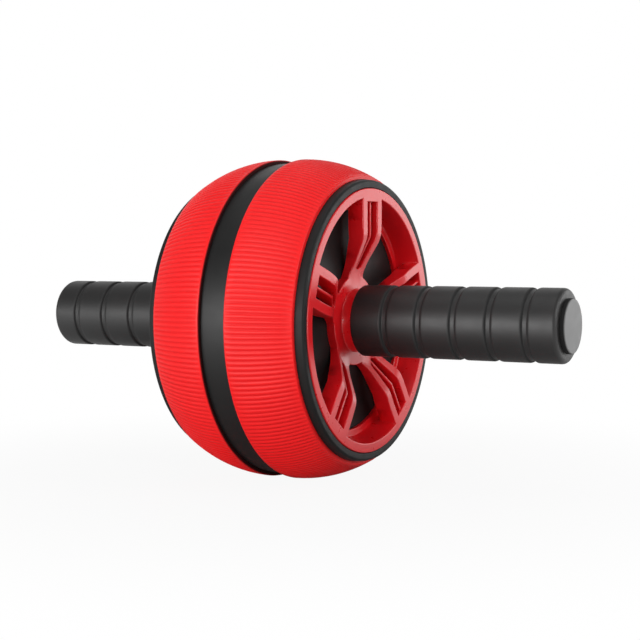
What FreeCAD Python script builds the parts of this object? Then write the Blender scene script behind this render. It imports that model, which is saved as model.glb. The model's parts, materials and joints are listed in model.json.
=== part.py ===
# Ab wheel roller: a wide wheel with two red treads that spins on a straight axle with a grip at each end.
# X runs along the axle, Y is the rolling direction and Z is up; the origin is the wheel's centre.
# Lengths are in millimetres and angles in degrees.
# Round pieces are outlines of (along the axle, out from the axle) turned about the axle.

import FreeCAD, Part
import Sketcher
import math
import os
import re

# Driving dimensions, each set by itself.
SIZES = {
    # Whole object
    "overall_length": 300,          # over the two end caps
    "wheel_diameter": 165.2,        # over the treads
    # Treads and the band between them
    "tread_width": 78.6,            # over both treads
    "tread_flat": 13,               # level width under the band, before the treads curve down
    "crown_radius": 64,             # curve of the treads across the wheel
    "tread_thickness": 4,
    "tread_edge_radius": 0.7,       # rounding at the outer edge of each tread
    "tread_edge_height": 1.58,      # step from the rounded edge down to the drum
    "stripe_width": 14,             # width of the band
    "stripe_depth": 1.9,            # how far the band lies below the treads
    "stripe_edge_radius": 0.8,      # rounding of the treads beside the band
    # Drum halves
    "ring_height": 4.6,             # how far the side ring stands out past the tread
    "ring_width": 4.3,
    "ring_taper": 0.45,             # how much the ring narrows towards its crest
    "ring_crest_radius": 1.2,
    "ring_bevel_depth": 0.3,        # drop of the ring's inner bevel
    "drum_wall": 3,
    "web_thickness": 3,
    "drum_hub_wall": 3.5,
    "bearing_shoulder": 2.5,        # height of the step that a bearing sits against
    "post_diameter": 12,
    "well_diameter": 8,             # hole in each post that takes a screw's head
    "well_floor": 8,                # thickness left under the head
    # Spoke covers
    "cover_depth": 14,              # front face to the drum's web
    "rim_rise": 0.2,                # how far the rim stands out past the drum's ring
    "rim_width": 4.7,
    "rim_thickness": 2.5,
    "barrel_wall": 2.5,
    "barrel_taper": 2.5,            # how much the barrel narrows towards the ledge
    "ledge_width": 3.7,             # step at the bottom of each window
    "ledge_thickness": 2,
    "under_spoke": 3.5,             # space between the ledge and the spokes
    "dish_depth": 9.5,              # how far the hub lies below the rim
    "dish_share": 0.49,             # share of the spoke that slopes down to the hub
    "dish_tangent": 3.2,            # length of the rounding where the slope begins
    "hub_wall": 2,                  # cover left around the bearing
    "hub_step": 1,                  # hub flat beyond the foot of the spokes
    "hub_skin": 1,                  # least thickness of the hub before the retaining ring
    "collar_wall": 2,
    "collar_spread": 1,             # how much the collar widens towards the hub
    "spoke_count": 5,
    "spoke_width": 21,
    "spoke_waist": 13,              # narrowest width, near the hub
    "spoke_root": 16,               # width where a spoke meets the hub
    "shoulder_share": 0.56,         # where the parallel part of a spoke ends, from hub to rim
    "waist_share": 0.112,           # where the waist lies, from hub to rim
    "bend_curve": 70,               # rounding where the parallel part of a spoke ends
    "waist_curve": 16,              # rounding at the waist
    "channel_width": 11,            # slot through the middle of a spoke
    "channel_waist": 5.5,           # width of the slot at the waist
    "channel_margin": 2.2,          # from the slot to the rim
    "channel_tip": 2,               # from the slot's inner end to the foot of the spoke
    "rib_width": 1.5,               # rib that halves the slot
    "rib_recess": 1.2,              # how far the rib lies below the front of the spoke
    "peg_diameter": 2.4,            # pegs behind the rim that press into the drum's web
    # Axle, grips and end caps
    "axle_diameter": 25,
    "axle_wall": 2,
    "grip_diameter": 36.2,
    "grip_recess": 3.85,            # how far a grip reaches into the dished cover
    "grip_edge_radius": 0.8,        # rounding of the end beside the wheel
    "grip_end_radius": 2.2,         # rounding of the outer end
    "segment_count": 6,
    "last_segment_trim": 2.75,      # how much shorter the outermost segment is
    "groove_width": 2.8,
    "groove_depth": 0.9,
    "cap_thickness": 2.65,
    "cap_overhang": 0.7,            # cap's flange beyond the axle
    "cap_edge_radius": 0.6,
    "plug_length": 16,              # cap's barrel inside the axle
    "plug_wall": 2,
    # Bearings and what holds them
    "bearing_outer": 42,
    "ball_share": 0.59,             # ball's diameter as a share of the space between bore and outside
    "ball_count": 13,
    "race_share": 0.58,             # height of the race shoulders as a share of the ball's radius
    "cage_wall": 0.6,
    "shield_thickness": 0.7,
    "shield_recess": 0.25,          # how far a shield lies below the ring's face
    "shield_seat": 0.6,             # width of the step that holds a shield
    "spacer_wall": 2.3,
    "washer_thickness": 1.5,
    "washer_width": 2.5,
    "clip_thickness": 1.2,
    "clip_width": 3,
    "clip_groove_depth": 0.6,
    "clip_opening": 5,
    "clip_lug_diameter": 3.4,
    "clip_hole_diameter": 1.6,
    # Screws
    "drum_screw_diameter": 3.5,
    "drum_screw_reach": 12,         # thread in the far drum half
    "drum_screw_head": 6.6,
    "drum_screw_head_height": 2.4,
    "drive_recess_share": 0.4,      # cross recess as a share of a screw head's width
    # Clearances
    "bond_gap": 0.05,               # under a bonded tread or band
    "push_gap": 0.05,               # round a pushed-on or pressed-in piece
    "cover_gap": 0.2,               # round a spoke cover
    "collar_gap": 0.5,              # between the turning collar and the still grip
    "bore_clearance": 0.6,          # between the axle and the turning cover
    "clip_room": 1,                 # round a retaining ring, inside the turning cover
    "clip_headroom": 0.5,           # before a retaining ring, inside the turning cover
    "run_gap": 0.3,                 # between other pieces that move past each other
    "ball_gap": 0.1,                # between the balls and their races
    "cage_gap": 0.15,               # between the balls and their cage
    "screw_clearance": 0.4,         # round a screw where it passes through
}

# Places and sizes that follow from the driving dimensions, in the order in which they are worked out.
PLACES = {
    # Treads and drum, across the wheel
    "tread_radius": "wheel_diameter / 2",
    "tread_foot": "tread_radius - tread_thickness",
    "crown_height": "tread_radius - crown_radius",
    "flat_half": "tread_flat / 2",
    "stripe_half": "stripe_width / 2",
    "corner_reach": "stripe_half + stripe_edge_radius - flat_half",
    "corner_rise": "sqrt((crown_radius - stripe_edge_radius)^2 - corner_reach^2)",
    "corner_scale": "crown_radius / (crown_radius - stripe_edge_radius)",
    "edge_x": "tread_width / 2",
    "edge_reach": "edge_x - tread_edge_radius - flat_half",
    "edge_rise": "sqrt((crown_radius - tread_edge_radius)^2 - edge_reach^2)",
    "edge_scale": "crown_radius / (crown_radius - tread_edge_radius)",
    "edge_radius": "crown_height + edge_rise",
    "ring_radius": "edge_radius - tread_edge_height",
    "foot_curve": "crown_radius - tread_thickness",
    "foot_start": "crown_height + sqrt(foot_curve^2 - (stripe_half - flat_half)^2)",
    "foot_end_x": "flat_half + sqrt(foot_curve^2 - (ring_radius + bond_gap - crown_height)^2)",
    "drum_radius": "tread_foot - bond_gap",
    "drum_curve": "foot_curve - bond_gap",
    "drum_end_x": "flat_half + sqrt(drum_curve^2 - (ring_radius - crown_height)^2)",
    "drum_inner_radius": "drum_radius - drum_wall",
    "drum_inner_curve": "drum_curve - drum_wall",
    "crest_x": "edge_x + ring_height",
    "crest_radius": "ring_radius - ring_taper - ring_crest_radius",
    # Spoke cover and web, along the axle
    "face_x": "crest_x + rim_rise",
    "web_front": "face_x - cover_depth",
    "web_back": "web_front - web_thickness",
    "web_edge": "crown_height + sqrt(drum_inner_curve^2 - (web_back - flat_half)^2)",
    "ledge_x": "web_front + ledge_thickness",
    "spoke_back": "ledge_x + under_spoke",
    "rim_back": "face_x - rim_thickness",
    "clip_in": "web_front + washer_thickness",
    "clip_out": "clip_in + clip_thickness",
    "clip_space_x": "clip_out + clip_headroom",
    "hub_x": "max(face_x - dish_depth; clip_space_x + hub_skin)",
    "dish_drop": "face_x - hub_x",
    # Axle and grips
    "axle_radius": "axle_diameter / 2",
    "fit_radius": "axle_radius + push_gap",
    "grip_start": "face_x - grip_recess",
    "grip_end": "overall_length / 2 - cap_thickness",
    "grip_radius": "grip_diameter / 2",
    "segment_pitch": "(grip_end - grip_start + last_segment_trim) / segment_count",
    "cap_x": "overall_length / 2",
    "cap_radius": "axle_radius + cap_overhang",
    "plug_radius": "axle_radius - axle_wall - push_gap",
    # Spoke cover, out from the axle
    "cover_seat": "ring_radius - ring_width",
    "cover_radius": "cover_seat - cover_gap",
    "barrel_radius": "cover_radius - rim_width",
    "barrel_outside": "barrel_radius + barrel_wall",
    "peg_radius": "barrel_radius + barrel_wall / 2",
    "barrel_foot": "barrel_radius - barrel_taper",
    "ledge_radius": "barrel_foot - ledge_width",
    "post_radius": "(ledge_radius + barrel_outside) / 2",
    "clip_groove": "axle_radius - clip_groove_depth",
    "clip_inner": "clip_groove + push_gap",
    "clip_outer": "clip_inner + clip_width",
    "lug_radius": "clip_lug_diameter / 2",
    "lug_circle": "clip_inner + lug_radius",
    "clip_space": "max(clip_outer; lug_circle + lug_radius) + clip_room",
    "cover_bore": "axle_radius + bore_clearance",
    "collar_x": "grip_start - collar_gap",
    "collar_tip": "cover_bore + collar_wall",
    "collar_base": "collar_tip + collar_spread",
    "collar_sweep": "((collar_x - hub_x)^2 + collar_spread^2) / (2 * collar_spread)",
    "hub_radius": "max(bearing_outer / 2 + hub_wall; collar_base)",
    "dish_foot": "hub_radius + hub_step",
    "dish_reach": "dish_share * (barrel_radius - dish_foot)",
    "dish_slope": "sqrt(dish_reach^2 + dish_drop^2)",
    "dish_corner": "dish_foot + dish_reach",
    "dish_curve": "dish_tangent * (dish_slope + dish_reach) / dish_drop",
    "spoke_pitch": "360 / spoke_count",
    "shoulder_radius": "hub_radius + shoulder_share * (barrel_radius - hub_radius)",
    "waist_radius": "hub_radius + waist_share * (barrel_radius - hub_radius)",
    "bend_side": "(spoke_width - spoke_waist) / 2",
    "bend_run": "shoulder_radius - waist_radius",
    "bend_length": "sqrt(bend_side^2 + bend_run^2)",
    "bend_tangent": "bend_curve * bend_side / (bend_length + bend_run)",
    "root_up": "sqrt(hub_radius^2 - (spoke_root / 2)^2)",
    "root_side": "(spoke_root - spoke_waist) / 2",
    "root_run": "waist_radius - root_up",
    "root_length": "sqrt(root_side^2 + root_run^2)",
    "waist_turn": "bend_side * root_run + bend_run * root_side",
    "waist_along": "bend_run * root_run - bend_side * root_side",
    "waist_tangent": "waist_curve * waist_turn / (bend_length * root_length + waist_along)",
    "channel_end": "barrel_radius - channel_margin",
    "channel_start": "dish_foot + channel_tip",
    "channel_side": "(channel_width - channel_waist) / 2",
    "channel_length": "sqrt(channel_side^2 + bend_run^2)",
    "channel_tangent": "bend_curve * channel_side / (channel_length + bend_run)",
    # Bearings
    "pitch_radius": "(bearing_outer + axle_diameter) / 4",
    "ball_radius": "ball_share * (bearing_outer - axle_diameter) / 4",
    "race_radius": "ball_radius + ball_gap",
    "race_shoulder": "race_share * ball_radius",
    "race_half": "sqrt(race_radius^2 - race_shoulder^2)",
    "inner_shoulder": "pitch_radius - race_shoulder",
    "outer_shoulder": "pitch_radius + race_shoulder",
    "pocket_radius": "ball_radius + cage_gap",
    "cage_half": "pocket_radius + cage_wall",
    "shield_step": "shield_thickness + shield_recess",
    "bearing_half": "cage_half + run_gap + shield_step",
    "bearing_out": "web_front",
    "bearing_mid": "web_front - bearing_half",
    "bearing_in": "bearing_mid - bearing_half",
    "bearing_seat": "bearing_outer / 2 + push_gap",
    "drum_hub_radius": "bearing_seat + drum_hub_wall",
    "shield_radius": "outer_shoulder + shield_seat",
}

HALF_TURN = FreeCAD.Placement(FreeCAD.Vector(), FreeCAD.Rotation(FreeCAD.Vector(0, 0, 1), 180))
SIDES = ("right", "left")

doc = FreeCAD.newDocument("AbWheelRoller")
pieces = []


def with_sheets(formula, own_sheet=""):
    """Put the name of its sheet before each size or place in a formula."""
    def owned(match):
        word = match.group(0)
        if word in SIZES:
            return "Sizes." + word
        if word in PLACES and own_sheet != "Places":
            return "Places." + word
        return word
    return re.sub(r"[a-z_]+", owned, formula)


def fill_sheet(name, cells):
    """Make a sheet with one named cell a row."""
    sheet = doc.addObject("Spreadsheet::Sheet", name)
    for row, (alias, content) in enumerate(cells.items(), start=1):
        sheet.set(f"A{row}", alias)
        sheet.set(f"B{row}", content)
        sheet.setAlias(f"B{row}", alias)
    doc.recompute()
    return sheet


def value(formula):
    return float(sizes.evalExpression(with_sheets(formula)))


def new_body(label, turned=False):
    """Start a piece; a turned one is the same piece on the other side of the wheel."""
    body = doc.addObject("PartDesign::Body", label)
    body.Label = label
    if turned:
        body.Placement = HALF_TURN
    pieces.append(body)
    return body


def origin_feature(body, role):
    return next(feature for feature in body.Origin.OriginFeatures if feature.Role == role)


def new_sketch(body, name, plane="XY_Plane", offset=None):
    sketch = body.newObject("Sketcher::SketchObject", name)
    sketch.AttachmentSupport = (origin_feature(body, plane), [""])
    sketch.MapMode = "FlatFace"
    if offset:
        sketch.setExpression("AttachmentOffset.Base.z", with_sheets(offset))
    return sketch


def dimension(sketch, kind, geometry, formula):
    """Add a dimension to a sketch and tie it to the sheets."""
    index = sketch.addConstraint(Sketcher.Constraint(kind, *geometry, value(formula)))
    sketch.setExpression(f"Constraints[{index}]", with_sheets(formula))


def place_point(sketch, geometry, point, across, up):
    dimension(sketch, "DistanceX", (-1, 1, geometry, point), across)
    dimension(sketch, "DistanceY", (-1, 1, geometry, point), up)


def arc_between(start, end, radius, turn):
    """Give the arc of under half a circle from start to end that turns left or right on the way."""
    chord = end - start
    middle = (start + end) * 0.5
    height = math.sqrt(max(radius ** 2 - (chord.Length / 2) ** 2, 0))
    side = FreeCAD.Vector(-chord.y, chord.x, 0).normalize()
    centre = middle + side * (height if turn == "left" else -height)
    circle = Part.Circle(centre, FreeCAD.Vector(0, 0, 1), radius)
    first, last = (start, end) if turn == "left" else (end, start)
    return Part.ArcOfCircle(circle, circle.parameter(first), circle.parameter(last))


def draw_outline(sketch, corners):
    """Draw a closed outline; a corner is (across, up) or, before an arc, (across, up, turn, radius)."""
    points = [FreeCAD.Vector(value(corner[0]), value(corner[1]), 0) for corner in corners]
    ends = []
    for index, corner in enumerate(corners):
        start = points[index]
        end = points[(index + 1) % len(points)]
        if len(corner) == 2:
            edge = sketch.addGeometry(Part.LineSegment(start, end))
            ends.append((edge, 1, 2))
        else:
            turn, radius = corner[2:]
            edge = sketch.addGeometry(arc_between(start, end, value(radius), turn))
            dimension(sketch, "Radius", (edge,), radius)
            ends.append((edge, 1, 2) if turn == "left" else (edge, 2, 1))
    for index, (edge, first, last) in enumerate(ends):
        next_edge, next_first, _ = ends[(index + 1) % len(ends)]
        sketch.addConstraint(Sketcher.Constraint("Coincident", edge, last, next_edge, next_first))
        place_point(sketch, edge, first, *corners[index][:2])


def draw_circle(sketch, across, up, radius):
    centre = FreeCAD.Vector(value(across), value(up), 0)
    circle = sketch.addGeometry(Part.Circle(centre, FreeCAD.Vector(0, 0, 1), value(radius)))
    dimension(sketch, "Radius", (circle,), radius)
    place_point(sketch, circle, 3, across, up)


def box_corners(x_low, x_high, up_low, up_high):
    return [(x_low, up_low), (x_high, up_low), (x_high, up_high), (x_low, up_high)]


def turn_outline(body, name, *outlines, kind="PartDesign::Revolution"):
    """Turn outlines about the axle, to add or, with a groove, to remove."""
    sketch = new_sketch(body, name + "_outline")
    for corners in outlines:
        draw_outline(sketch, corners)
    feature = body.newObject(kind, name)
    feature.Profile = sketch
    feature.ReferenceAxis = (sketch, ["H_Axis"])
    feature.Angle = 360
    return feature


def extrude(body, kind, sketch, name, length, outwards):
    """Pad or pocket a sketch that faces along the axle; outwards is away from the wheel's centre."""
    feature = body.newObject(kind, name)
    feature.Profile = sketch
    feature.setExpression("Length", with_sheets(length))
    feature.Reversed = outwards if kind == "PartDesign::Pocket" else not outwards
    return feature


def pad(body, sketch, name, length):
    return extrude(body, "PartDesign::Pad", sketch, name, length, outwards=True)


def pocket(body, sketch, name, length):
    """Cut a sketch outwards and make sure that it removed something."""
    doc.recompute()
    before = body.Shape.Volume
    feature = extrude(body, "PartDesign::Pocket", sketch, name, length, outwards=True)
    doc.recompute()
    if body.Shape.Volume >= before:
        raise RuntimeError(f"{body.Label}: {name} cuts nothing")
    return feature


def repeat_round(body, name, features, count):
    """Repeat features around the axle."""
    pattern = body.newObject("PartDesign::PolarPattern", name)
    pattern.Originals = features
    pattern.Axis = (origin_feature(body, "X_Axis"), [""])
    pattern.Angle = 360
    pattern.setExpression("Occurrences", with_sheets(count))
    body.Tip = pattern
    return pattern


def make_round(label, *outlines, turned=False):
    """Make a piece that is round all over."""
    body = new_body(label, turned)
    turn_outline(body, "turned", *outlines)
    return body


def make_axle_tube():
    inner = "axle_radius - axle_wall"
    outline = [("-grip_end", inner), ("-grip_end", "axle_radius")]
    for near, far in (("-clip_out", "-clip_in"), ("clip_in", "clip_out")):
        outline += [(near, "axle_radius"), (near, "clip_groove"), (far, "clip_groove"), (far, "axle_radius")]
    outline += [("grip_end", "axle_radius"), ("grip_end", inner)]
    make_round("axle_tube", outline)


def make_grip(label, turned):
    body = new_body(label, turned)
    turn_outline(body, "sleeve", [
        ("grip_start", "fit_radius"),
        ("grip_start", "grip_radius - grip_edge_radius", "right", "grip_edge_radius"),
        ("grip_start + grip_edge_radius", "grip_radius"),
        ("grip_end - grip_end_radius", "grip_radius", "right", "grip_end_radius"),
        ("grip_end", "grip_radius - grip_end_radius"),
        ("grip_end", "fit_radius"),
    ])
    middle = "grip_start + segment_pitch"
    floor = "grip_radius - groove_depth"
    flank = "groove_width / 2 - groove_depth / 2"
    groove = turn_outline(body, "finger_groove", [
        (f"{middle} - groove_width / 2", "grip_radius"),
        (f"{middle} - ({flank})", floor),
        (f"{middle} + ({flank})", floor),
        (f"{middle} + groove_width / 2", "grip_radius"),
    ], kind="PartDesign::Groove")
    row = body.newObject("PartDesign::LinearPattern", "finger_grooves")
    row.Originals = [groove]
    row.Direction = (origin_feature(body, "X_Axis"), [""])
    row.setExpression("Length", with_sheets("segment_pitch * (segment_count - 2)"))
    row.setExpression("Occurrences", with_sheets("segment_count - 1"))
    body.Tip = row


def make_end_cap(label, turned):
    inner = "plug_radius - plug_wall"
    make_round(label, [
        ("grip_end", "0"),
        ("cap_x", "0"),
        ("cap_x", "cap_radius - cap_edge_radius", "left", "cap_edge_radius"),
        ("cap_x - cap_edge_radius", "cap_radius"),
        ("grip_end", "cap_radius"),
        ("grip_end", "plug_radius"),
        ("grip_end - plug_length", "plug_radius"),
        ("grip_end - plug_length", inner),
        ("grip_end", inner),
    ], turned=turned)


def make_retaining_ring(label, turned):
    body = new_body(label, turned)
    turn_outline(body, "ring", box_corners("clip_in", "clip_out", "clip_inner", "clip_outer"))
    opening = new_sketch(body, "opening_outline", "YZ_Plane", "clip_in")
    draw_outline(opening, box_corners("-clip_opening / 2", "clip_opening / 2", "-clip_outer * 2", "0"))
    pocket(body, opening, "opening", "clip_thickness")
    lug_x = "clip_opening / 2 + lug_radius"
    lug_up = f"-sqrt(lug_circle^2 - ({lug_x})^2)"
    lugs = new_sketch(body, "lug_outline", "YZ_Plane", "clip_in")
    holes = new_sketch(body, "hole_outline", "YZ_Plane", "clip_in")
    for across in (lug_x, f"-({lug_x})"):
        draw_circle(lugs, across, lug_up, "lug_radius")
        draw_circle(holes, across, lug_up, "clip_hole_diameter / 2")
    pad(body, lugs, "lugs", "clip_thickness")
    pocket(body, holes, "plier_holes", "clip_thickness")


def make_bearing(side, turned):
    make_round(f"{side}_bearing_inner_ring", [
        ("bearing_in", "fit_radius"),
        ("bearing_in", "inner_shoulder"),
        ("bearing_mid - race_half", "inner_shoulder", "left", "race_radius"),
        ("bearing_mid + race_half", "inner_shoulder"),
        ("bearing_out", "inner_shoulder"),
        ("bearing_out", "fit_radius"),
    ], turned=turned)
    make_round(f"{side}_bearing_outer_ring", [
        ("bearing_in", "bearing_outer / 2"),
        ("bearing_out", "bearing_outer / 2"),
        ("bearing_out", "shield_radius"),
        ("bearing_out - shield_step", "shield_radius"),
        ("bearing_out - shield_step", "outer_shoulder"),
        ("bearing_mid + race_half", "outer_shoulder", "left", "race_radius"),
        ("bearing_mid - race_half", "outer_shoulder"),
        ("bearing_in + shield_step", "outer_shoulder"),
        ("bearing_in + shield_step", "shield_radius"),
        ("bearing_in", "shield_radius"),
    ], turned=turned)
    shield_span = ("inner_shoulder + run_gap", "shield_radius - push_gap")
    make_round(
        f"{side}_bearing_shields",
        box_corners("bearing_in + shield_recess", "bearing_in + shield_step", *shield_span),
        box_corners("bearing_out - shield_step", "bearing_out - shield_recess", *shield_span),
        turned=turned)
    cage = new_body(f"{side}_bearing_cage", turned)
    turn_outline(cage, "ring", box_corners(
        "bearing_mid - cage_half", "bearing_mid + cage_half",
        "inner_shoulder + run_gap", "outer_shoulder - run_gap"))
    ball_pocket = new_sketch(cage, "pocket_outline")
    draw_circle(ball_pocket, "bearing_mid", "0", "pocket_radius")
    hole = pocket(cage, ball_pocket, "ball_pocket", "outer_shoulder")
    repeat_round(cage, "ball_pockets", [hole], "ball_count")
    balls = new_body(f"{side}_bearing_balls", turned)
    ball = balls.newObject("PartDesign::AdditiveSphere", "ball")
    ball.setExpression("Radius", with_sheets("ball_radius"))
    ball.setExpression("Placement.Base.x", with_sheets("bearing_mid"))
    ball.setExpression("Placement.Base.z", with_sheets("pitch_radius"))
    repeat_round(balls, "balls", [ball], "ball_count")


def make_tread(label, turned):
    make_round(label, [
        ("stripe_half", "foot_start"),
        ("stripe_half", "crown_height + corner_rise", "right", "stripe_edge_radius"),
        ("flat_half + corner_reach * corner_scale", "crown_height + corner_rise * corner_scale",
         "right", "crown_radius"),
        ("flat_half + edge_reach * edge_scale", "crown_height + edge_rise * edge_scale",
         "right", "tread_edge_radius"),
        ("edge_x", "edge_radius"),
        ("edge_x", "ring_radius + bond_gap"),
        ("foot_end_x", "ring_radius + bond_gap", "left", "foot_curve"),
    ], turned=turned)


def peg_place():
    """Give the place of one peg, halfway between two spokes."""
    return "peg_radius * sin(spoke_pitch / 2)", "peg_radius * cos(spoke_pitch / 2)"


def make_drum(label, turned, takes_heads):
    """One half shell; the half that takes the screw heads has wells, the other has pilot holes."""
    body = new_body(label, turned)
    turn_outline(body, "shell", [
        ("0", "drum_inner_radius"),
        ("0", "drum_radius"),
        ("flat_half", "drum_radius", "right", "drum_curve"),
        ("drum_end_x", "ring_radius"),
        ("edge_x", "ring_radius"),
        ("crest_x - ring_crest_radius", "ring_radius - ring_taper", "right", "ring_crest_radius"),
        ("crest_x", "crest_radius"),
        ("crest_x - ring_bevel_depth", "cover_seat"),
        ("web_front", "cover_seat"),
        ("web_front", "bearing_seat"),
        ("bearing_in", "bearing_seat"),
        ("bearing_in", "bearing_seat - bearing_shoulder"),
        ("0", "bearing_seat - bearing_shoulder"),
        ("0", "drum_hub_radius"),
        ("web_back", "drum_hub_radius"),
        ("web_back", "web_edge", "left", "drum_inner_curve"),
        ("flat_half", "drum_inner_radius"),
    ])
    posts = new_sketch(body, "post_outline", "YZ_Plane")
    draw_circle(posts, "0", "post_radius", "post_diameter / 2")
    features = [pad(body, posts, "post", "web_back")]
    thread = new_sketch(body, "thread_outline", "YZ_Plane")
    if takes_heads:
        draw_circle(thread, "0", "post_radius", "drum_screw_diameter / 2 + screw_clearance")
        features.append(pocket(body, thread, "screw_hole", "well_floor"))
        well = new_sketch(body, "well_outline", "YZ_Plane", "well_floor")
        draw_circle(well, "0", "post_radius", "well_diameter / 2")
        features.append(pocket(body, well, "screw_well", "web_front - well_floor"))
    else:
        draw_circle(thread, "0", "post_radius", "drum_screw_diameter / 2 + push_gap")
        features.append(pocket(body, thread, "pilot_hole", "drum_screw_reach + push_gap"))
    peg_hole = new_sketch(body, "peg_hole_outline", "YZ_Plane", "web_back")
    draw_circle(peg_hole, *peg_place(), "peg_diameter / 2 + push_gap")
    features.append(pocket(body, peg_hole, "peg_hole", "web_thickness"))
    repeat_round(body, "around_the_web", features, "spoke_count")


def across_window(across, up):
    """Mirror a point beside the top spoke to the next spoke, across the window between them."""
    return (f"({up}) * sin(spoke_pitch) - ({across}) * cos(spoke_pitch)",
            f"({across}) * sin(spoke_pitch) + ({up}) * cos(spoke_pitch)")


def window_outline():
    """Outline of one window, from the top spoke round the hub to the next spoke and back behind the rim."""
    beside_spoke = [
        ("spoke_width / 2", "sqrt(cover_radius^2 - (spoke_width / 2)^2)"),
        ("spoke_width / 2", "shoulder_radius + bend_tangent", "right", "bend_curve"),
        ("spoke_width / 2 - bend_tangent * bend_side / bend_length",
         "shoulder_radius - bend_tangent * bend_run / bend_length"),
        ("spoke_waist / 2 + waist_tangent * bend_side / bend_length",
         "waist_radius + waist_tangent * bend_run / bend_length", "left", "waist_curve"),
        ("spoke_waist / 2 + waist_tangent * root_side / root_length",
         "waist_radius - waist_tangent * root_run / root_length"),
        ("spoke_root / 2", "root_up", "right", "hub_radius"),
    ]
    arcs_back = [corner[2:] for corner in reversed(beside_spoke[:-1])] + [("left", "cover_radius")]
    other_side = [across_window(*corner[:2]) + arc for corner, arc in zip(reversed(beside_spoke), arcs_back)]
    return beside_spoke + other_side


def channel_outline():
    """Outline of the slot through the top spoke, down one side and up the other."""
    down = [
        ("channel_width / 2", "channel_end"),
        ("channel_width / 2", "shoulder_radius + channel_tangent", "right", "bend_curve"),
        ("channel_width / 2 - channel_tangent * channel_side / channel_length",
         "shoulder_radius - channel_tangent * bend_run / channel_length"),
        ("channel_waist / 2", "waist_radius"),
        ("rib_width / 2", "channel_start"),
    ]
    arcs_back = [corner[2:] for corner in reversed(down[:-1])] + [()]
    up = [(f"-({corner[0]})", corner[1]) + arc for corner, arc in zip(reversed(down), arcs_back)]
    return down + up


def make_spoke_cover(label, turned):
    body = new_body(label, turned)
    turn_outline(body, "dished_disc", [
        ("web_front", "clip_space"),
        ("clip_space_x", "clip_space"),
        ("clip_space_x", "cover_bore"),
        ("collar_x", "cover_bore"),
        ("collar_x", "collar_tip", "right", "collar_sweep"),
        ("hub_x", "collar_base"),
        ("hub_x", "dish_foot"),
        ("face_x - dish_tangent * dish_drop / dish_slope", "dish_corner - dish_tangent * dish_reach / dish_slope",
         "left", "dish_curve"),
        ("face_x", "dish_corner + dish_tangent"),
        ("face_x", "peg_radius"),
        ("spoke_back", "peg_radius"),
        ("spoke_back", "dish_corner"),
        ("web_front", "hub_radius"),
    ])
    past_the_face = "cover_depth + ring_height"
    window = new_sketch(body, "window_outline", "YZ_Plane", "web_front")
    draw_outline(window, window_outline())
    features = [pocket(body, window, "window", past_the_face)]
    channel = new_sketch(body, "channel_outline", "YZ_Plane", "web_front")
    draw_outline(channel, channel_outline())
    features.append(pocket(body, channel, "spoke_channel", past_the_face))
    rib_outline = new_sketch(body, "rib_outline", "XZ_Plane")
    draw_outline(rib_outline, [
        ("web_front", "hub_radius"),
        ("hub_x - rib_recess", "hub_radius"),
        ("hub_x - rib_recess", "dish_foot"),
        ("face_x - rib_recess", "dish_corner"),
        ("face_x - rib_recess", "channel_end + channel_margin / 2"),
        ("spoke_back", "channel_end + channel_margin / 2"),
        ("spoke_back", "dish_corner"),
    ])
    rib = pad(body, rib_outline, "channel_rib", "rib_width")
    rib.Midplane = True
    features.append(rib)
    repeat_round(body, "spokes", features, "spoke_count")
    turn_outline(body, "rim", [
        ("face_x", "barrel_radius"),
        ("face_x", "cover_radius"),
        ("rim_back", "cover_radius"),
        ("rim_back", "barrel_outside"),
        ("web_front", "barrel_outside"),
        ("web_front", "ledge_radius"),
        ("ledge_x", "ledge_radius"),
        ("ledge_x", "barrel_foot"),
    ])
    peg_outline = new_sketch(body, "peg_outline", "YZ_Plane", "web_back")
    draw_circle(peg_outline, *peg_place(), "peg_diameter / 2")
    peg = pad(body, peg_outline, "peg", "web_thickness + ledge_thickness")
    repeat_round(body, "pegs", [peg], "spoke_count")


def make_drum_screws():
    """A ring of screws; each head sits in a well of the right drum half and the thread in the left half."""
    body = new_body("drum_screws")
    sketch = new_sketch(body, "screw_outline", "XZ_Plane")
    tip = "-drum_screw_reach"
    top = "well_floor + drum_screw_head_height"
    shank = "drum_screw_diameter / 2"
    head = "drum_screw_head / 2"
    recess = f"drive_recess_share * {head}"
    draw_outline(sketch, [
        (tip, "post_radius"),
        (f"{tip} + {shank}", f"post_radius + {shank}"),
        ("well_floor", f"post_radius + {shank}"),
        ("well_floor", f"post_radius + {head}"),
        (top, f"post_radius + {head} - drum_screw_head_height / 3"),
        (top, f"post_radius + {recess}"),
        (f"{top} - {recess}", "post_radius"),
    ])
    axis_ends = [FreeCAD.Vector(value(x), value("post_radius"), 0) for x in ("well_floor", tip)]
    axis = sketch.addGeometry(Part.LineSegment(*axis_ends), True)
    place_point(sketch, axis, 1, "well_floor", "post_radius")
    place_point(sketch, axis, 2, tip, "post_radius")
    screw = body.newObject("PartDesign::Revolution", "screw")
    screw.Profile = sketch
    screw.ReferenceAxis = (sketch, ["Axis0"])
    screw.Angle = 360
    repeat_round(body, "screws", [screw], "spoke_count")


def make_side(side):
    turned = side == "left"
    make_grip(f"{side}_grip", turned)
    make_end_cap(f"{side}_end_cap", turned)
    make_retaining_ring(f"{side}_retaining_ring", turned)
    make_round(f"{side}_thrust_washer",
               box_corners("bearing_out", "clip_in", "fit_radius", "fit_radius + washer_width"), turned=turned)
    make_bearing(side, turned)
    make_drum(f"{side}_drum", turned, takes_heads=not turned)
    make_tread(f"{side}_tread", turned)
    make_spoke_cover(f"{side}_spoke_cover", turned)


def check_pieces():
    """Stop unless every object worked and every piece is a whole, valid solid."""
    for item in doc.Objects:
        if "Invalid" in item.State or "Error" in item.State:
            raise RuntimeError(f"{item.Label}: {item.State}")
    for piece in pieces:
        if piece.Shape.isNull() or not piece.Shape.isValid() or not piece.Shape.Solids:
            raise RuntimeError(f"{piece.Label}: no valid solid")


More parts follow.
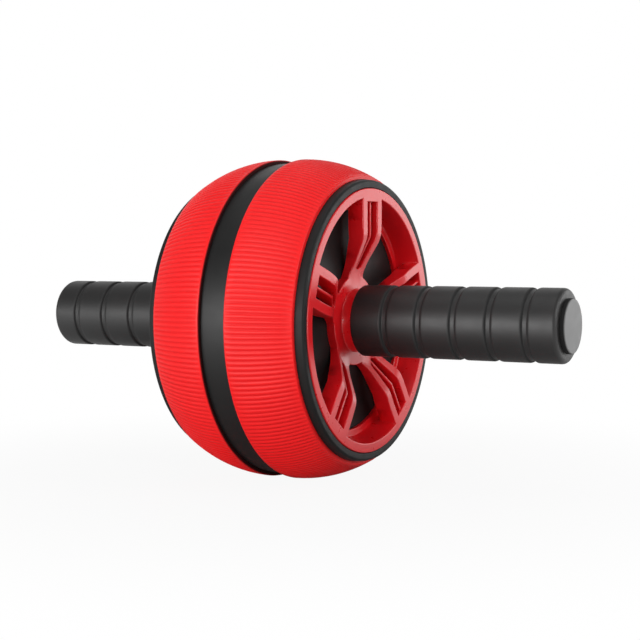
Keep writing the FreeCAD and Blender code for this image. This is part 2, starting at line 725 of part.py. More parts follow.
def write_pieces():
    os.makedirs("parts", exist_ok=True)
    for piece in pieces:
        piece.Shape.exportStep(f"parts/{piece.Label}.step")
        print(f"{piece.Label}: {len(piece.Shape.Solids)} solids, {piece.Shape.Volume / 1000:.2f} cm3")


sizes = fill_sheet("Sizes", {alias: str(size) for alias, size in SIZES.items()})
places = fill_sheet("Places", {alias: "=" + with_sheets(rule, "Places") for alias, rule in PLACES.items()})

make_axle_tube()
make_round("bearing_spacer", box_corners("-bearing_in", "bearing_in", "fit_radius", "fit_radius + spacer_wall"))
make_round("centre_band", box_corners("-stripe_half", "stripe_half", "tread_foot", "tread_radius - stripe_depth"))
make_drum_screws()
for side_name in SIDES:
    make_side(side_name)

doc.recompute()
check_pieces()
write_pieces()
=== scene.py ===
# %% [markdown]
# # An ab wheel roller
# The roller is a wide wheel with two red rubber treads, a black stripe between them and a red spoked
# cover on each side. It spins on a straight axle with a grooved rubber grip at each end.
# The construction model comes first, as a fixed frame: every piece made here sits where that frame says.

# %% Load the frame
import json
import math

import bmesh
import bpy
from mathutils import Matrix, Vector


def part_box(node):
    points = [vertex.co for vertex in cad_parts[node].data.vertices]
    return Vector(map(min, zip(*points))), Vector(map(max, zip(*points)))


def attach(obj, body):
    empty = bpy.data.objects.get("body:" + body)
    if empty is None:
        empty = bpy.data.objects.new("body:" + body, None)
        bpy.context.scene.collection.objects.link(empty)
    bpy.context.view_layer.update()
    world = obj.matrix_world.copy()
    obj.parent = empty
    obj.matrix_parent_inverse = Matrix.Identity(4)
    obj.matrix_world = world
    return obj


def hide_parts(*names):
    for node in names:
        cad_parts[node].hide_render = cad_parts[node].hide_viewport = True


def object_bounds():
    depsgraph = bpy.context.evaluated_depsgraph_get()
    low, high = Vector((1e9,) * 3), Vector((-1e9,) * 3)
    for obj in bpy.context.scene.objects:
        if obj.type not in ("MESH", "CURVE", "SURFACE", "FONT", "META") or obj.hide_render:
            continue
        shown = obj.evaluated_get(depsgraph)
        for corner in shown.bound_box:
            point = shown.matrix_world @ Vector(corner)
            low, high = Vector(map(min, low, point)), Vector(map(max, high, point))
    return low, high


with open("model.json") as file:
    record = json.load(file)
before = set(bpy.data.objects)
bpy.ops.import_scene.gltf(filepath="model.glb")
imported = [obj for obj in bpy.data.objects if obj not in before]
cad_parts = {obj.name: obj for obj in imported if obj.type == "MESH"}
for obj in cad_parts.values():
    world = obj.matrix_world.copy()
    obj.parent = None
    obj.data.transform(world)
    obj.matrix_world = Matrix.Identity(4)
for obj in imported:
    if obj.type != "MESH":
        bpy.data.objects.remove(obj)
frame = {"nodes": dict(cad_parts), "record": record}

cad_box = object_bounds()
print("construction box:", [[round(value, 4) for value in corner] for corner in cad_box])

# %% [markdown]
# ## Camera
# The camera stands a little above the axle, to the right of the wheel, so both the tread and the right
# cover show. Its place is given as a photographer would give it: an angle round the object, a height
# angle and a distance, with the aim slightly beside the wheel's centre.

# %% Place the camera
MM = 0.001
view_azimuth = math.radians(29.81)
view_elevation = math.radians(2.93)
view_distance = 721.6 * MM
aim_right = 11.91 * MM
aim_up = -0.79 * MM
lens_length = 77.55

towards_camera = Vector((
    math.sin(view_azimuth) * math.cos(view_elevation),
    -math.cos(view_azimuth) * math.cos(view_elevation),
    math.sin(view_elevation)))
camera_right = Vector((math.cos(view_azimuth), math.sin(view_azimuth), 0))
camera_up = towards_camera.cross(camera_right)
aim = camera_right * aim_right + camera_up * aim_up


def look_at(item, place, target):
    """Put a camera or lamp at a place and turn it towards a target."""
    item.location = place
    item.rotation_euler = (target - place).to_track_quat("-Z", "Y").to_euler()
    bpy.context.scene.collection.objects.link(item)


camera = bpy.data.objects.new("studio_camera", bpy.data.cameras.new("studio_camera"))
camera.data.lens = lens_length
look_at(camera, towards_camera * view_distance, aim)
bpy.context.scene.camera = camera
print("camera at", [round(value, 3) for value in camera.location])

# %% [markdown]
# ## Studio light
# A product photo like this is lit by large soft boxes, because a small lamp would draw hard highlights
# on the black grips. The front box is wide and low, so its light runs as a soft band along the middle of the
# grips and of the stripe. One box hangs above, and one stands on the right for the cover.
# The last one stands behind on the right: the flat fronts of the spokes mirror it, which makes them pale.

# %% Hang the lamps
scene = bpy.context.scene
scene.view_settings.view_transform = "Standard"


def soft_box(name, place, width, height, watts):
    """Hang a soft box at a place, turned towards the wheel's centre."""
    lamp = bpy.data.lights.new(name, "AREA")
    lamp.shape = "ELLIPSE"
    lamp.size = width
    lamp.size_y = height
    lamp.energy = watts
    look_at(bpy.data.objects.new(name, lamp), Vector(place), Vector((0, 0, 0)))
    print(name, watts, "W at", place)


soft_box("front_box", (-0.2, -1.3, 0.08), 1.8, 0.45, 16.5)
soft_box("top_box", (-0.1, -0.25, 1.3), 1.0, 1.0, 3)
soft_box("right_box", (1.25, 0.1, 0.55), 0.9, 0.9, 7)
soft_box("sheen_box", (0.75, 1.2, 0.1), 0.9, 0.9, 4)

# %% [markdown]
# ## World
# The background is white, but white light from all round would wash the object out. Light Path keeps the
# two apart: rays from the camera see plain white, while the light that reaches the object from the world is
# weaker. Rays mirrored in a glossy surface see the white backdrop too, on the far side of the object; the
# room behind the camera is dim, so black rubber stays black.

# %% Make the world
world_light = 0.25
backdrop_start = 0.35
backdrop_full = 0.85
white = (1, 1, 1, 1)


def combine(tree, operation, first, second):
    """Put two values through a math node."""
    node = tree.nodes.new("ShaderNodeMath")
    node.operation = operation
    tree.links.new(first, node.inputs[0])
    tree.links.new(second, node.inputs[1])
    return node.outputs[0]


def blend_range(tree, value, start, end, low, high):
    """Lead a value smoothly from low to high between two places."""
    node = tree.nodes.new("ShaderNodeMapRange")
    node.interpolation_type = "SMOOTHSTEP"
    for socket, setting in (("From Min", start), ("From Max", end), ("To Min", low), ("To Max", high)):
        node.inputs[socket].default_value = setting
    tree.links.new(value, node.inputs["Value"])
    return node.outputs["Result"]


def ray_kinds(tree):
    """Give two values: 1 on rays from the camera, and 1 on mirrored or transmitted rays."""
    rays = tree.nodes.new("ShaderNodeLightPath").outputs
    mirrored = combine(tree, "MAXIMUM", rays["Is Glossy Ray"], rays["Is Transmission Ray"])
    return rays["Is Camera Ray"], mirrored


world = bpy.data.worlds.new("white_studio")
world.use_nodes = True
scene.world = world
world_tree = world.node_tree
camera_ray, mirrored_ray = ray_kinds(world_tree)
direction = world_tree.nodes.new("ShaderNodeTexCoord")
facing = world_tree.nodes.new("ShaderNodeVectorMath")
facing.operation = "DOT_PRODUCT"
facing.inputs[1].default_value = -towards_camera
world_tree.links.new(direction.outputs["Generated"], facing.inputs[0])
backdrop = blend_range(world_tree, facing.outputs["Value"], backdrop_start, backdrop_full, 0, 1)
seen = combine(world_tree, "MAXIMUM", camera_ray, combine(world_tree, "MULTIPLY", mirrored_ray, backdrop))
background = world_tree.nodes["Background"]
background.inputs["Color"].default_value = white
world_tree.links.new(blend_range(world_tree, seen, 0, 1, world_light, 1), background.inputs["Strength"])
print("world light", world_light)

# %% [markdown]
# ## Floor
# The floor is a large plain square under the wheel. It glows white as the world does, so no horizon shows
# behind. Near the object part of it stays matt, and that part keeps a soft shadow.

# %% Make the floor
floor_size = 8
floor_colour = (0.5, 0.5, 0.5, 1)
near_glow = 0.93
shadow_start = 0.10
shadow_end = 0.34
floor_finish = bpy.data.materials.new("white_floor")
floor_finish.use_nodes = True
floor_tree = floor_finish.node_tree
floor_tree.nodes.clear()
matt = floor_tree.nodes.new("ShaderNodeBsdfDiffuse")
matt.inputs["Color"].default_value = floor_colour
glow = floor_tree.nodes.new("ShaderNodeEmission")
glow.inputs["Color"].default_value = white
place = floor_tree.nodes.new("ShaderNodeTexCoord")
reach = floor_tree.nodes.new("ShaderNodeVectorMath")
reach.operation = "LENGTH"
floor_tree.links.new(place.outputs["Object"], reach.inputs[0])
camera_ray, mirrored_ray = ray_kinds(floor_tree)
shares = []
for rays, near_share in ((camera_ray, near_glow), (mirrored_ray, 0)):
    share = blend_range(floor_tree, reach.outputs["Value"], shadow_start, shadow_end, near_share, 1)
    shares.append(combine(floor_tree, "MULTIPLY", rays, share))
mix = floor_tree.nodes.new("ShaderNodeMixShader")
surface = floor_tree.nodes.new("ShaderNodeOutputMaterial")
floor_tree.links.new(combine(floor_tree, "MAXIMUM", *shares), mix.inputs["Fac"])
floor_tree.links.new(matt.outputs[0], mix.inputs[1])
floor_tree.links.new(glow.outputs[0], mix.inputs[2])
floor_tree.links.new(mix.outputs[0], surface.inputs["Surface"])

floor_mesh = bmesh.new()
bmesh.ops.create_grid(floor_mesh, x_segments=1, y_segments=1, size=floor_size / 2)
bmesh.ops.translate(floor_mesh, verts=floor_mesh.verts[:], vec=(0, 0, cad_box[0].z))
floor = bpy.data.objects.new("floor", bpy.data.meshes.new("floor"))
floor_mesh.to_mesh(floor.data)
floor_mesh.free()
floor.data.materials.append(floor_finish)
scene.collection.objects.link(floor)
print("floor at height", round(cad_box[0].z, 4))

# %% [markdown]
# ## Finishes
# Real moulded plastic and rubber are never one flat colour. Three layers of noise on the object's own
# coordinates give each finish its life: a broad one that shifts the colour, a middle one that makes the
# gloss patchy, and a fine one that raises the grain left by the mould.

# %% Tools for finishes
colour_waves = 45
gloss_waves = 160
noise_low = 0.3
noise_high = 0.7
metal_waves = 60
metal_shade = 0.9
mark_waves = 900
mark_height = 0.004 * MM


def new_finish(name, **values):
    """Start a finish whose shader has these values all over."""
    finish = bpy.data.materials.new(name)
    finish.use_nodes = True
    shader = finish.node_tree.nodes["Principled BSDF"]
    for socket, value in values.items():
        shader.inputs[socket.replace("_", " ")].default_value = value
    return finish, shader


def noise(finish, scale, detail=3, stretch=(1, 1, 1)):
    """Give a noise of about scale waves to the metre on the object's own coordinates."""
    tree = finish.node_tree
    place = tree.nodes.new("ShaderNodeTexCoord")
    mapping = tree.nodes.new("ShaderNodeMapping")
    mapping.inputs["Scale"].default_value = stretch
    texture = tree.nodes.new("ShaderNodeTexNoise")
    texture.inputs["Scale"].default_value = scale
    texture.inputs["Detail"].default_value = detail
    tree.links.new(place.outputs["Object"], mapping.inputs["Vector"])
    tree.links.new(mapping.outputs["Vector"], texture.inputs["Vector"])
    return texture.outputs["Fac"]


def shift_colour(finish, shader, factor, first, second):
    """Let the base colour wander between two colours."""
    tree = finish.node_tree
    ramp = tree.nodes.new("ShaderNodeValToRGB")
    ramp.color_ramp.elements[0].position = noise_low
    ramp.color_ramp.elements[1].position = noise_high
    ramp.color_ramp.elements[0].color = (*first, 1)
    ramp.color_ramp.elements[1].color = (*second, 1)
    tree.links.new(factor, ramp.inputs["Fac"])
    tree.links.new(ramp.outputs["Color"], shader.inputs["Base Color"])


def vary_gloss(finish, shader, factor, smooth, rough):
    """Let the roughness wander between two values."""
    tree = finish.node_tree
    spread = tree.nodes.new("ShaderNodeMapRange")
    spread.inputs["From Min"].default_value = noise_low
    spread.inputs["From Max"].default_value = noise_high
    spread.inputs["To Min"].default_value = smooth
    spread.inputs["To Max"].default_value = rough
    tree.links.new(factor, spread.inputs["Value"])
    tree.links.new(spread.outputs["Result"], shader.inputs["Roughness"])


def raise_grain(finish, shader, factor, height):
    """Raise a fine grain of this height."""
    tree = finish.node_tree
    bump = tree.nodes.new("ShaderNodeBump")
    bump.inputs["Distance"].default_value = height
    tree.links.new(factor, bump.inputs["Height"])
    tree.links.new(bump.outputs["Normal"], shader.inputs["Normal"])


def paint_shade(finish, attribute, colour, roughness):
    """Paint shade: blend towards a dark, dull look where an attribute of the mesh is high."""
    tree = finish.node_tree
    shader = tree.nodes["Principled BSDF"]
    depth = tree.nodes.new("ShaderNodeAttribute")
    depth.attribute_name = attribute
    for socket, look in (("Base Color", colour), ("Roughness", (roughness,) * 3)):
        blend = tree.nodes.new("ShaderNodeMixRGB")
        blend.inputs["Color2"].default_value = (*look, 1)
        tree.links.new(depth.outputs["Fac"], blend.inputs["Fac"])
        tree.links.new(shader.inputs[socket].links[0].from_socket, blend.inputs["Color1"])
        tree.links.new(blend.outputs["Color"], shader.inputs[socket])


def moulded(name, first, second, smooth, rough, grain_scale, grain_height, **values):
    """A moulded plastic or rubber: two near colours, a range of gloss and a fine grain."""
    finish, shader = new_finish(name, **values)
    shift_colour(finish, shader, noise(finish, colour_waves), first, second)
    vary_gloss(finish, shader, noise(finish, gloss_waves), smooth, rough)
    raise_grain(finish, shader, noise(finish, grain_scale, detail=1), grain_height)
    print("finish:", name)
    return finish


def metal(name, colour, smooth, rough, stretch):
    """A worked metal, with fine marks drawn out along the way it was worked."""
    shade = [value * metal_shade for value in colour]
    finish, shader = new_finish(name, Metallic=1)
    shift_colour(finish, shader, noise(finish, metal_waves), shade, colour)
    marks = noise(finish, mark_waves, stretch=stretch)
    vary_gloss(finish, shader, marks, smooth, rough)
    raise_grain(finish, shader, marks, mark_height)
    print("finish:", name)
    return finish


# %% [markdown]
# Each finish has the name of the record's material slot that it fills. The blacks are very dark, because
# what the eye sees on black rubber is mostly the light that it mirrors. The grooves, the flanks beside the
# stripe and the side of the cap are darker than the rest: there an attribute of the mesh leads the colour
# to a dull, dark one, and that darkness is painted shade.

# %% Mix the finishes
along_axle = (0.04, 1, 1)
round_axle = (1, 0.15, 0.15)
finishes = {
    "tread_rubber": moulded(
        "tread_rubber", (0.90, 0.009, 0.011), (0.94, 0.012, 0.013), 0.40, 0.46, 2200, 0.012 * MM,
        Specular_IOR_Level=0.3),
    "cover_plastic": moulded(
        "cover_plastic", (0.80, 0.007, 0.013), (0.84, 0.009, 0.015), 0.27, 0.31, 1500, 0.002 * MM,
        Specular_IOR_Level=0.6),
    "drum_plastic": moulded(
        "drum_plastic", (0.010, 0.010, 0.010), (0.014, 0.014, 0.014), 0.48, 0.56, 1800, 0.006 * MM,
        Specular_IOR_Level=0.2),
    "band_plastic": moulded(
        "band_plastic", (0.006, 0.006, 0.006), (0.009, 0.009, 0.009), 0.42, 0.48, 2000, 0.008 * MM,
        Specular_IOR_Level=0.35),
    "grip_rubber": moulded(
        "grip_rubber", (0.005, 0.005, 0.005), (0.008, 0.007, 0.007), 0.47, 0.53, 1600, 0.016 * MM,
        Specular_IOR_Level=0.65),
    "cap_plastic": moulded(
        "cap_plastic", (0.19, 0.19, 0.19), (0.21, 0.21, 0.21), 0.42, 0.48, 1800, 0.006 * MM,
        Specular_IOR_Level=0.3),
    "cage_nylon": moulded(
        "cage_nylon", (0.72, 0.67, 0.57), (0.78, 0.73, 0.63), 0.40, 0.55, 2400, 0.008 * MM),
    "axle_steel": metal("axle_steel", (0.62, 0.62, 0.63), 0.22, 0.36, along_axle),
    "spring_steel": metal("spring_steel", (0.13, 0.13, 0.14), 0.34, 0.46, round_axle),
    "bearing_steel": metal("bearing_steel", (0.66, 0.66, 0.67), 0.10, 0.18, round_axle),
    "shield_steel": metal("shield_steel", (0.60, 0.60, 0.60), 0.28, 0.38, round_axle),
    "screw_steel": metal("screw_steel", (0.55, 0.55, 0.56), 0.26, 0.38, along_axle),
}
# Painted shade: darker colour in the tread's grooves and on its flank beside the stripe, on the grip's
# groove flanks and on the side of the cap.
paint_shade(finishes["tread_rubber"], "groove", (0.78, 0.005, 0.007), 0.6)
paint_shade(finishes["tread_rubber"], "flank", (0.03, 0.001, 0.001), 0.9)
paint_shade(finishes["grip_rubber"], "groove", (0.002, 0.002, 0.002), 0.9)
paint_shade(finishes["cap_plastic"], "flank", (0.012, 0.012, 0.012), 0.9)

# %% [markdown]
# ## Turned pieces
# Treads, stripe, grips, caps and drum halves are round about the axle. A lathe makes such pieces from half
# an outline, and so does Blender's spin. Each corner of an outline is given as (along the axle, out from the
# axle, rounding). The corners are bevelled before the spin, because a rounded edge catches a line of light,
# and that line is what makes a moulded piece look real.

# %% Tools for turned pieces
round_steps = 4
seam_reach = 0.001 * MM
crease_angle = math.radians(35)


def draw_outline(corners):
    """Draw a closed outline beside the axle and round its corners."""
    mesh = bmesh.new()
    points = [mesh.verts.new((along, 0, out)) for along, out, rounding in corners]
    mesh.faces.new(points)
    for point, (along, out, rounding) in zip(points, corners):
        if rounding:
            bmesh.ops.bevel(
                mesh, geom=[point], offset=rounding, offset_type="OFFSET", segments=round_steps,
                profile=0.5, affect="VERTICES", material=-1)
    bmesh.ops.delete(mesh, geom=mesh.faces[:], context="FACES_ONLY")
    return mesh


def spin_outline(mesh, steps, centre=0):
    """Turn an outline once about the axle, or about a line above it, and close the seam."""
    bmesh.ops.spin(
        mesh, geom=mesh.verts[:] + mesh.edges[:], cent=(0, 0, centre), axis=(1, 0, 0),
        angle=math.tau, steps=steps, use_merge=True)
    bmesh.ops.remove_doubles(mesh, verts=mesh.verts[:], dist=seam_reach)
    bmesh.ops.recalc_face_normals(mesh, faces=mesh.faces[:])


def add_piece(node, mesh, finish, body):
    """Make a piece that stands for one node of the frame and rides on a body."""
    data = bpy.data.meshes.new("visual_" + node)
    mesh.to_mesh(data)
    data.shade_smooth()
    data.set_sharp_from_angle(angle=crease_angle)
    data.materials.append(finishes[finish])
    piece = bpy.data.objects.new("visual_" + node, data)
    scene.collection.objects.link(piece)
    normals = piece.modifiers.new("even_shading", "WEIGHTED_NORMAL")
    normals.keep_sharp = True
    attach(piece, body)
    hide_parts(node)
    print(piece.name, len(data.polygons), "faces")


def add_pair(node, mesh, finish, body):
    """Add the right piece, then the same piece turned to the left side."""
    add_piece("right_" + node, mesh, finish, body)
    half_turn = Matrix.Rotation(math.pi, 3, "Z")
    bmesh.ops.rotate(mesh, verts=mesh.verts[:], cent=(0, 0, 0), matrix=half_turn)
    add_piece("left_" + node, mesh, finish, body)
    mesh.free()


# %% [markdown]
# ## Treads
# Each tread is a rubber band that curves down from the stripe to a rounded edge. Fine ribs run across it
# for grip. The ribs are pressed into the mesh rather than painted on: eight columns of vertices to each rib
# are enough to bend the light, and a bump texture would vanish at the outline of the wheel.
# The ribs fade out beside the stripe and before the rounded edge.

# %% Turn the treads
tread_low, tread_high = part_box("right_tread")
tread_radius = tread_high.z
stripe_half = tread_low.x
edge_x = tread_high.x
tread_thickness = 4 * MM
crown_radius = 64 * MM
crown_start = 6.5 * MM
edge_round = 0.7 * MM
edge_step = 1.53 * MM
stripe_round = 0.8 * MM
rib_count = 204
columns_to_a_rib = 8
rib_depth = 0.40 * MM
rib_margin = 2.0 * MM
rib_sharpness = 1.4
crown_parts = 12


def crown(along, below=0):
    """Give the tread's radius at a place along the axle, at a depth below its surface."""
    curve = crown_radius - below
    past = max(along - crown_start, 0)
    return tread_radius - crown_radius + math.sqrt(curve ** 2 - past ** 2)


edge_centre = edge_x - edge_round
edge_rise = math.sqrt((crown_radius - edge_round) ** 2 - (edge_centre - crown_start) ** 2)
edge_out = tread_radius - crown_radius + edge_rise
crown_end = crown_start + (edge_centre - crown_start) * crown_radius / (crown_radius - edge_round)
foot_out = edge_out - edge_step
foot_fall = foot_out - tread_radius + crown_radius
foot_end = crown_start + math.sqrt((crown_radius - tread_thickness) ** 2 - foot_fall ** 2)


def steps_between(first, last, parts):
    """Give evenly spaced values from the first to the last."""
    return [first + (last - first) * part / parts for part in range(parts + 1)]


across_crown = [
    (along, crown(along), 0)
    for along in steps_between(stripe_half + 2 * stripe_round, crown_end, crown_parts)]
edge_turn = math.atan2(crown_end - crown_start, crown(crown_end) - tread_radius + crown_radius)
round_edge = [
    (edge_centre + edge_round * math.sin(turn), edge_out + edge_round * math.cos(turn), 0)
    for turn in steps_between(edge_turn, math.pi / 2, round_steps)]
under_crown = [
    (along, crown(along, tread_thickness), 0)
    for along in steps_between(foot_end, stripe_half, crown_parts)]
tread = draw_outline(
    [(stripe_half, crown(stripe_half), stripe_round)]
    + across_crown + round_edge[1:] + [(edge_x, foot_out, 0)] + under_crown)
spin_outline(tread, rib_count * columns_to_a_rib)
print("tread outline reaches", round(edge_x / MM, 2), "mm along and", round(tread_radius / MM, 2), "mm out")

# %% [markdown]
# Each vertex on the outside now sinks a little, by its place in the rib that it belongs to. The same depth
# is kept as an attribute, so that the rubber's finish is darker in the grooves, where shade is painted.
# A second attribute marks the flank beside the stripe, where shade is painted as well.

# %% Press the ribs
groove_shade_layer = tread.verts.layers.float.new("groove")
flank_shade_layer = tread.verts.layers.float.new("flank")
flank_shade_reach = stripe_round / 2
top_reach = 0.01 * MM
for vertex in tread.verts:
    vertex[flank_shade_layer] = max(1 - (vertex.co.x - stripe_half) / flank_shade_reach, 0)
    out = math.hypot(vertex.co.y, vertex.co.z)
    on_top = crown(vertex.co.x) - out < top_reach
    room = min(vertex.co.x - stripe_half - stripe_round, crown_end - vertex.co.x)
    if on_top and room > 0:
        fade = min(room / rib_margin, 1)
        turn = math.atan2(vertex.co.z, vertex.co.y)
        wave = (0.5 - 0.5 * math.cos(turn * rib_count)) ** rib_sharpness
        vertex[groove_shade_layer] = fade * wave
        sunk = (out - rib_depth * fade * wave) / out
        vertex.co.y *= sunk
        vertex.co.z *= sunk
add_pair("tread", tread, "tread_rubber", "wheel")

# %% [markdown]
# ## Stripe
# The black stripe between the treads is a plain hoop that hides the seam of the two drum halves. Its top
# bulges by a few tenths of a millimetre, as a moulded hoop does, so the light rolls off it softly.

# %% Turn the stripe
band_low, band_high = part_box("centre_band")
band_thickness = 2.1 * MM
band_bulge = 0.25 * MM
band_round = 0.35 * MM
band_steps = 256
band_foot = band_high.z - band_thickness
band = draw_outline([
    (band_low.x, band_foot, 0),
    (band_low.x, band_high.z - band_bulge, band_round),
    (band_low.x / 2, band_high.z - band_bulge / 4, 0),
    (0, band_high.z, 0),
    (band_high.x / 2, band_high.z - band_bulge / 4, 0),
    (band_high.x, band_high.z - band_bulge, band_round),
    (band_high.x, band_foot, 0),
])
spin_outline(band, band_steps)
add_piece("centre_band", band, "band_plastic", "wheel")
band.free()

# %% [markdown]
# ## Grips
# A grip is a rubber sleeve with five shallow grooves that part it into six segments. The flanks of a groove
# slope and its edges are softly rounded, so the light fades into the groove instead of breaking off.

# %% Turn the grips
grip_low, grip_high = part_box("right_grip")
grip_radius = grip_high.z
grip_bore = 12.55 * MM
segment_count = 6
last_segment_trim = 2.75 * MM
groove_width = 2.8 * MM
groove_depth = 0.9 * MM
groove_spread = 0.7 * MM
edge_soften = 0.6 * MM
floor_soften = 0.25 * MM
inner_round = 0.9 * MM
outer_round = 2.3 * MM
grip_steps = 192
segment_pitch = (grip_high.x - grip_low.x + last_segment_trim) / segment_count

grip_corners = [(grip_low.x, grip_bore, 0), (grip_low.x, grip_radius, inner_round)]
half = groove_width / 2
groove_corners = [
    (-half - groove_spread, 0, edge_soften),
    (-half, groove_depth / 2, 0),
    (groove_spread / 2 - half, groove_depth, floor_soften),
    (0, groove_depth, 0),
    (half - groove_spread / 2, groove_depth, floor_soften),
    (half, groove_depth / 2, 0),
    (half + groove_spread, 0, edge_soften)]
for segment in range(1, segment_count):
    middle = grip_low.x + segment * segment_pitch
    grip_corners += [(middle + along, grip_radius - depth, soft) for along, depth, soft in groove_corners]
grip_corners += [(grip_high.x, grip_radius, outer_round), (grip_high.x, grip_bore, 0)]
grip = draw_outline(grip_corners)
spin_outline(grip, grip_steps)

# %% [markdown]
# Shade is painted on the flanks of the grooves. An attribute marks them: it is highest half way down a flank
# and falls to nothing at the top and on the groove's floor.

# %% Mark the flanks of the grooves
flank_shade_layer = grip.verts.layers.float.new("groove")
for vertex in grip.verts:
    out = math.hypot(vertex.co.y, vertex.co.z)
    segment = round((vertex.co.x - grip_low.x) / segment_pitch)
    from_middle = abs(vertex.co.x - grip_low.x - segment * segment_pitch)
    if 0 < segment < segment_count and from_middle < half + 2 * groove_spread:
        share = min((grip_radius - out) / groove_depth, 1)
        vertex[flank_shade_layer] = 4 * share * (1 - share)
add_pair("grip", grip, "grip_rubber", "axle")

# %% [markdown]
# ## End caps
# A grey plastic plug closes each end of the axle tube. Only its flat flange shows; the hollow barrel behind
# it sits inside the tube. An attribute marks the side of the flange, where shade is painted into the colour.

# %% Turn the end caps
cap_low, cap_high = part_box("right_end_cap")
cap_radius = cap_high.z
plug_radius = 10.45 * MM
plug_wall = 2 * MM
cap_round = 0.6 * MM
cap_steps = 128
cap = draw_outline([
    (grip_high.x, 0, 0),
    (cap_high.x, 0, 0),
    (cap_high.x, cap_radius, cap_round),
    (grip_high.x, cap_radius, 0),
    (grip_high.x, plug_radius, 0),
    (cap_low.x, plug_radius, 0),
    (cap_low.x, plug_radius - plug_wall, 0),
    (grip_high.x, plug_radius - plug_wall, 0),
])
spin_outline(cap, cap_steps)
side_shade_layer = cap.verts.layers.float.new("flank")
for vertex in cap.verts:
    vertex[side_shade_layer] = min(max((cap_high.x - vertex.co.x) / cap_round, 0), 1)
add_pair("end_cap", cap, "cap_plastic", "axle")

# %% [markdown]
# ## Drum halves
# Each half of the drum is a round shell with a web and a hub for the bearing. Its outside follows the treads
# from below, so the same curve draws it, only deeper. What shows is the black side ring between the tread
# and the spoke cover: its crest is well rounded, because a thin line of light runs along it.

# %% Turn the drum halves
drum_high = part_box("right_drum")[1]
cover_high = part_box("right_spoke_cover")[1]
bearing_low, bearing_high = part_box("right_bearing_outer_ring")
bond_gap = 0.05 * MM
cover_gap = 0.2 * MM
wall = 3 * MM
ring_taper = 0.45 * MM
ring_bevel = 0.3 * MM
ring_round = 1.2 * MM
ring_inner_round = 0.35 * MM
bearing_shoulder = 2.5 * MM
hub_wall = 3.5 * MM
drum_parts = 10
drum_steps = 256
shell_top = tread_thickness + bond_gap
shell_under = shell_top + wall
crest_x = drum_high.x
ring_out = foot_out - bond_gap
cover_seat = cover_high.z + cover_gap
web_front = bearing_high.x
web_back = web_front - wall
bearing_seat = bearing_high.z + bond_gap
ring_fall = ring_out - tread_radius + crown_radius
shell_end = crown_start + math.sqrt((crown_radius - shell_top) ** 2 - ring_fall ** 2)
outside = [
    (along, crown(along, shell_top), 0) for along in steps_between(crown_start, shell_end, drum_parts)]
inside = [
    (along, crown(along, shell_under), 0) for along in steps_between(web_back, crown_start, drum_parts)]
drum = draw_outline(
    [(0, crown(0, shell_top), 0)] + outside + [
        (edge_x, ring_out, 0),
        (crest_x, ring_out - ring_taper, ring_round),
        (crest_x - ring_bevel, cover_seat, ring_inner_round),
        (web_front, cover_seat, 0),
        (web_front, bearing_seat, 0),
        (bearing_low.x, bearing_seat, 0),
        (bearing_low.x, bearing_seat - bearing_shoulder, 0),
        (0, bearing_seat - bearing_shoulder, 0),
        (0, bearing_seat + hub_wall, 0),
        (web_back, bearing_seat + hub_wall, 0),
    ] + inside + [(0, crown(0, shell_under), 0)])
spin_outline(drum, drum_steps)
print("ring crest at", round(crest_x / MM, 2), "mm, outside", round(ring_out / MM, 2), "mm")

# %% [markdown]
# Inside the shell stand five posts for the screws that hold the two halves together. One post is turned
# about its own line, then copied round the axle.

# %% Add the screw posts
screw_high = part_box("drum_screws")[1]
screw_head_half = 3.3 * MM
post_radius = screw_high.z - screw_head_half
post_half = 6 * MM
post_bore = 2.2 * MM
post_steps = 32
post_count = 5
post = draw_outline([
    (0, post_radius + post_bore, 0), (0, post_radius + post_half, 0),
    (web_back, post_radius + post_half, 0), (web_back, post_radius + post_bore, 0)])
spin_outline(post, post_steps, post_radius)
post_mesh = bpy.data.meshes.new("screw_post")
post.to_mesh(post_mesh)
post.free()
for turn in range(post_count):
    post_mesh.transform(Matrix.Rotation(math.tau / post_count, 4, "X"))
    drum.from_mesh(post_mesh)
bpy.data.meshes.remove(post_mesh)
add_pair("drum", drum, "drum_plastic", "wheel")

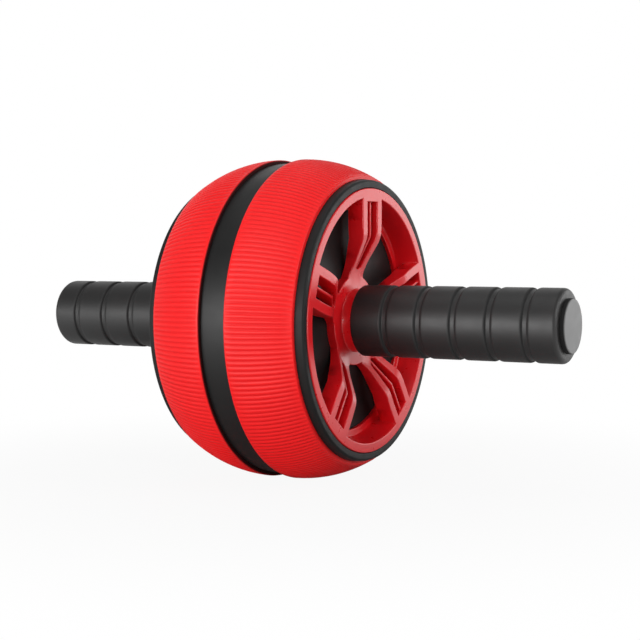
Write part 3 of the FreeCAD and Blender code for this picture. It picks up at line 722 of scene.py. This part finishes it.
# %% [markdown]
# ## Spoke covers
# The cover's five spokes, slots and sloping windows are already exact in the construction model, and
# drawing them again would only add mistakes. What that model lacks is softness: its edges are knife sharp.
# So the cover is a copy of the node, with its loose triangles merged and the sharp edges in front bevelled.
# A flat face with a hole can't be one polygon, so the copy is first cut along the middle of each spoke.

# %% Soften the covers
cover_round = 0.5 * MM
cover_bevel_steps = 3
sharp_angle = math.radians(28)
flat_angle = math.radians(0.5)
back_facing = -0.5
loose_reach = 0.03 * MM
sliver_reach = 0.01 * MM
cut_reach = 0.005 * MM
spoke_count = 5
for side, outward in (("right", 1), ("left", -1)):
    node = side + "_spoke_cover"
    cover = bmesh.new()
    cover.from_mesh(frame["nodes"][node].data)
    bmesh.ops.remove_doubles(cover, verts=cover.verts[:], dist=loose_reach)
    bmesh.ops.dissolve_degenerate(cover, edges=cover.edges[:], dist=sliver_reach)
    bmesh.ops.dissolve_limit(cover, angle_limit=flat_angle, verts=cover.verts[:], edges=cover.edges[:])
    for turn in range(spoke_count):
        across = Matrix.Rotation(math.tau * turn / spoke_count, 3, "X") @ Vector((0, 1, 0))
        bmesh.ops.bisect_plane(
            cover, geom=cover.verts[:] + cover.edges[:] + cover.faces[:], dist=cut_reach,
            plane_co=(0, 0, 0), plane_no=across)
    edges = [
        edge for edge in cover.edges if edge.calc_face_angle() > sharp_angle
        and all(face.normal.x * outward > back_facing for face in edge.link_faces)]
    bmesh.ops.bevel(
        cover, geom=edges, offset=cover_round, offset_type="OFFSET", segments=cover_bevel_steps,
        profile=0.5, affect="EDGES", material=-1)
    bmesh.ops.remove_doubles(cover, verts=cover.verts[:], dist=cut_reach)
    bmesh.ops.triangulate(cover, faces=[face for face in cover.faces if len(face.verts) > 4])
    area = sum(face.calc_area() for face in cover.faces) / MM ** 2
    print(node, len(edges), "sharp edges rounded,", round(area), "square mm of surface")
    add_piece(node, cover, "cover_plastic", "wheel")
    cover.free()

# %% [markdown]
# ## Inner pieces
# The axle tube, the bearings, the washers, the retaining rings and the screws are hidden or barely seen.
# The construction model's own meshes serve for them, and each takes the finish that the record names.

# %% Finish the inner pieces
for part in frame["record"]["subparts"]:
    data = frame["nodes"][part["node"]].data
    data.materials.clear()
    data.materials.append(finishes[part["material_slot"]])
